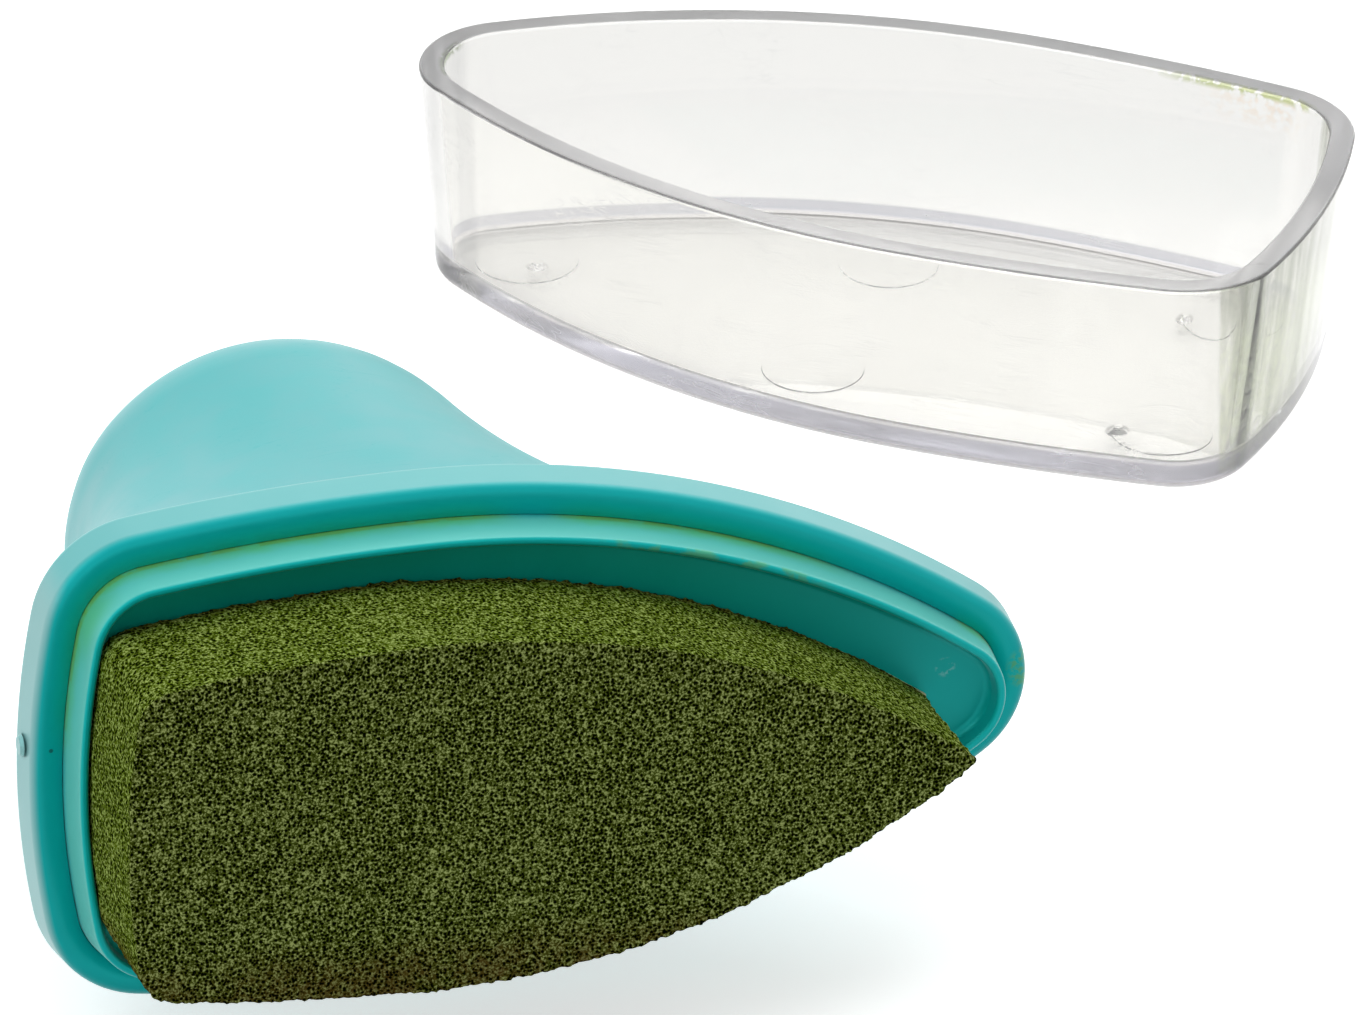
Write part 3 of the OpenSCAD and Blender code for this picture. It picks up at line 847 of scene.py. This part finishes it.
def make_foam_pad():
    """A die-cut block, remeshed fine so that its cut edges can be ragged."""
    foot = RECESS_FLOOR + FILM_T
    bm = loft_along([Vector((0, foot)), Vector((0, foot + FOAM_T))], FOAM)
    block = add_piece("foam_block", bm, own_place, inked_foam)
    remesh = block.modifiers.new("cells", "REMESH")
    remesh.mode = "VOXEL"
    remesh.voxel_size = FOAM_VOXEL
    bm = baked(block)
    bpy.data.objects.remove(block)
    bm.normal_update()
    for v in bm.verts:
        spot = v.co.copy()
        ragged = wave(spot, *FOAM_CRUMBS) + wave(spot, *FOAM_GRAIN)
        corner = hypot(v.normal.x, v.normal.y) * abs(v.normal.z)
        out = ragged * (1 + 2 * corner) + wave(spot, *FOAM_SWELL) - FOAM_INSET
        v.co = spot + v.normal * out
    for face in bm.faces:
        face.smooth = True
    return add_piece("foam", bm, pad_place, inked_foam)


# ---------------------------------------------------------------- the lid
def discs(r, top_r, height, places, segments):
    """Low discs that stand on the lid's floor, rooted a little way into it, as one object."""
    bm = bmesh.new()
    for x, y in places:
        bmesh.ops.create_cone(
            bm,
            segments=segments,
            radius1=r + (r - top_r),
            radius2=top_r,
            depth=2 * height,
            cap_ends=True,
            matrix=Matrix.Translation((x, y, LID_FLOOR_T)),
        )
    return add_piece("discs", bm, own_place, clear_lid)


def joined(bm, other):
    """The mesh and the other object as one solid; the other object goes."""
    obj = add_piece("cup", bm, own_place, clear_lid)
    join = obj.modifiers.new("join", "BOOLEAN")
    join.operation = "UNION"
    join.solver = "EXACT"
    join.object = other
    whole = baked(obj)
    for spare in (obj, other):
        bpy.data.objects.remove(spare)
    return whole


def make_lid():
    """The clear cup with raised round marks and nibs on its floor, its level faces shaded flat."""
    foot = FLANGE_OUT - LID_DRAFT
    lean = LID_DRAFT / LID_H
    section = rounded(
        [
            (foot - LID_RING, 0, 0),
            (foot, 0, LID_EDGE_R),
            (FLANGE_OUT, LID_H, LID_RIM_R),
            (FLANGE_OUT - LID_WALL, LID_H, LID_RIM_R),
            (foot + lean * LID_FLOOR_T - LID_WALL, LID_FLOOR_T, LID_FILLET_R),
            (foot - LID_WALL - LID_RING, LID_FLOOR_T, 0),
        ],
        steps=8,
        guard=0.12,
    )
    bm = loft_along(section)
    bm = joined(bm, discs(MARK_R, MARK_TOP_R, MARK_H, MARK_PLACES, MARK_SIDES))
    bm = joined(bm, discs(NIB_R, NIB_TOP_R, NIB_H, NIB_PLACES, NIB_SIDES))
    bm.normal_update()
    for face in bm.faces:
        face.smooth = abs(face.normal.z) < LEVEL
    reach = bm.verts.layers.float["reach"]
    for v in bm.verts:
        if LID_FLOOR_T - 0.2 < v.co.z < LID_FLOOR_T + 0.4 and v[reach] > -0.5:
            v[reach] = FLOOR_REACH
    return add_piece("lid_shell", bm, lid_place, clear_lid)


handle = make_handle()
tray = make_tray()
foam = make_foam_pad()
lid = make_lid()
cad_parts["adhesive_film"].data.materials.clear()
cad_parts["adhesive_film"].data.materials.append(film)

for piece, body, slot, node in (
    (handle, "pad", "handle_plastic", "handle_shell"),
    (tray, "pad", "tray_plastic", "pad_tray"),
    (foam, "pad", "foam", "ink_pad"),
    (lid, "lid", "clear_plastic", "lid"),
):
    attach(piece, body)
    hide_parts(node)


# ---------------------------------------------------------------- floor, light and camera
# Strengths for rays from the camera, mirrored, through the lid, and for all the others
TABLE_GLOW = (0.62, 0.8, 0.2, 0.0)
ROOM_GLOW = (1.0, 2.3, 1.0, 0.3)
WHITE, TABLE_GREY = (1, 1, 1, 1), (0.8, 0.8, 0.8, 1)
TABLE_R, TABLE_DROP = 3.0, 0.0001
# Lamps: degrees from the front towards the right, degrees up, brightness, width and height
SOFTBOX_AWAY = 0.9
SOFTBOXES = {
    "back": (180, 50, 2.2, 0.6, 0.55),
    "left": (-45, 37, 1.9, 0.6, 0.85),
    "right_back": (135, 50, 1.0, 0.55, 0.55),
    "overhead": (0, 85, 0.9, 0.6, 0.6),
}
CAMERA_SPOT = (0.170018, -0.507861, 0.313566)
CAMERA_TURN = (radians(60.417), radians(-0.961), radians(18.852))
CAMERA_LENS, SENSOR_W, CLIP_NEAR, CLIP_FAR = 302.04, 36.0, 0.01, 20.0


def seen_rays(tree, camera, mirrored, through, rest):
    """A strength for each kind of ray; one that came through the lid counts as through alone."""
    path = tree.nodes.new("ShaderNodeLightPath").outputs
    glossy, refracted = path["Is Glossy Ray"], path["Is Transmission Ray"]
    only_mirrored = calc(tree, "SUBTRACT", glossy, refracted, clamp=True)
    total = times(tree, path["Is Camera Ray"], camera - rest)
    total = calc(tree, "ADD", total, times(tree, only_mirrored, mirrored - rest))
    total = calc(tree, "ADD", total, times(tree, refracted, through - rest))
    return calc(tree, "ADD", total, rest)


def make_table():
    """A plain pale floor, just under the object."""
    mat, tree, shader = new_material(
        "table",
        Base_Color=TABLE_GREY,
        Roughness=0.9,
        Specular_IOR_Level=0.0,
        Emission_Color=WHITE,
    )
    feed(tree, shader.inputs["Emission Strength"], seen_rays(tree, *TABLE_GLOW))
    bm = bmesh.new()
    below = Matrix.Translation((0, 0, -TABLE_DROP))
    bmesh.ops.create_circle(bm, cap_ends=True, segments=96, radius=TABLE_R, matrix=below)
    mesh = bpy.data.meshes.new("table")
    bm.to_mesh(mesh)
    bm.free()
    mesh.materials.append(mat)
    table = bpy.data.objects.new("table", mesh)
    bpy.context.collection.objects.link(table)


def make_world():
    """A plain white room."""
    world = bpy.data.worlds.new("room")
    bpy.context.scene.world = world
    world.use_nodes = True
    backdrop = world.node_tree.nodes["Background"]
    backdrop.inputs["Color"].default_value = WHITE
    feed(world.node_tree, backdrop.inputs["Strength"], seen_rays(world.node_tree, *ROOM_GLOW))


def add_softbox(name, turn, height, brightness, width, tall):
    """An area lamp aimed at the object."""
    turn, height = radians(turn), radians(height)
    aim = Vector((sin(turn) * cos(height), -cos(turn) * cos(height), sin(height)))
    light = bpy.data.lights.new(name, "AREA")
    light.shape = "RECTANGLE"
    light.size, light.size_y = width, tall
    light.energy = brightness * pi * width * tall
    obj = bpy.data.objects.new(name, light)
    obj.location = aim * SOFTBOX_AWAY
    obj.rotation_euler = (-obj.location).to_track_quat("-Z", "Y").to_euler()
    bpy.context.collection.objects.link(obj)


def add_camera():
    """The camera, in front of the pad, to its right and above it."""
    camera = bpy.data.cameras.new("camera")
    camera.lens = CAMERA_LENS
    camera.sensor_width = SENSOR_W
    camera.clip_start, camera.clip_end = CLIP_NEAR, CLIP_FAR
    obj = bpy.data.objects.new("camera", camera)
    obj.location = CAMERA_SPOT
    obj.rotation_euler = Euler(CAMERA_TURN, "XYZ")
    bpy.context.collection.objects.link(obj)
    bpy.context.scene.camera = obj


make_table()
make_world()
for label, numbers in SOFTBOXES.items():
    add_softbox(label, *numbers)
add_camera()
scene = bpy.context.scene
scene.view_settings.view_transform = "Standard"
scene.cycles.max_bounces = 16
scene.cycles.glossy_bounces = 10
scene.cycles.transmission_bounces = 12
